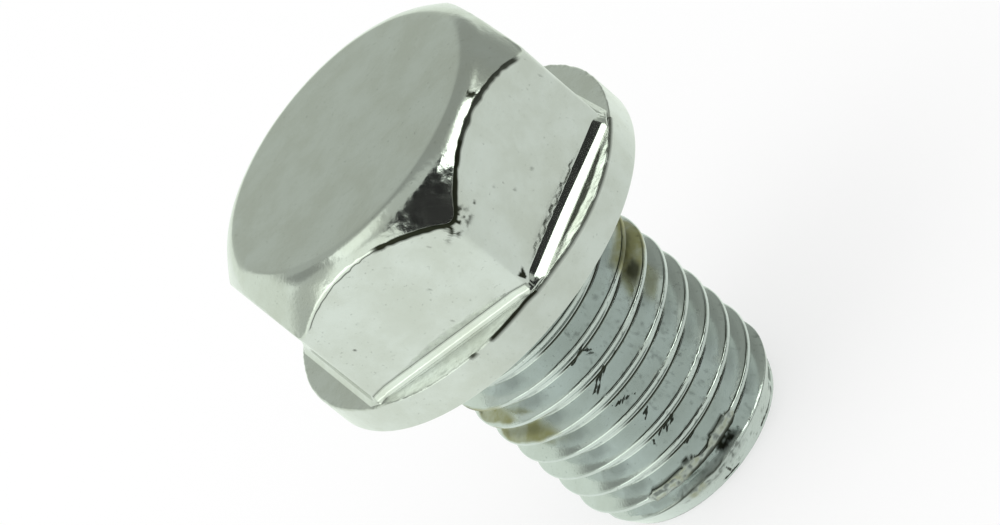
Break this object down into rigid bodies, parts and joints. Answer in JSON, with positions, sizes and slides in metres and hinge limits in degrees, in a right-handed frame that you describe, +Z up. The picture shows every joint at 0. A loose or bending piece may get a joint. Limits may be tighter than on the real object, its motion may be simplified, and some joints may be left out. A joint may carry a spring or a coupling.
{
  "type": "oil drain plug",
  "caption": "One-piece flanged hex oil drain plug, bright-plated steel, M12 x 1.5 thread, 17 mm spanner size, 15.4 mm shank.",
  "frame": {"origin": "centre of the flat end face of the threaded tip, on the surface that the plug stands on", "axes": "+Z up the axis from the tip to the head; +X through one upright corner of the hexagon; the flats face 30, 90, 150, 210, 270 and 330 degrees from +X"},
  "size_m": [0.02, 0.02, 0.0249],
  "materials": {
    "plated_steel": "bright metal plating with a faint green-grey cast, fine pits and handling marks, oily brown stains in the upper thread and crushed last turns"
  },
  "bodies": {
    "root": {"drain_plug": "plated_steel"}
  },
  "joints": []
}
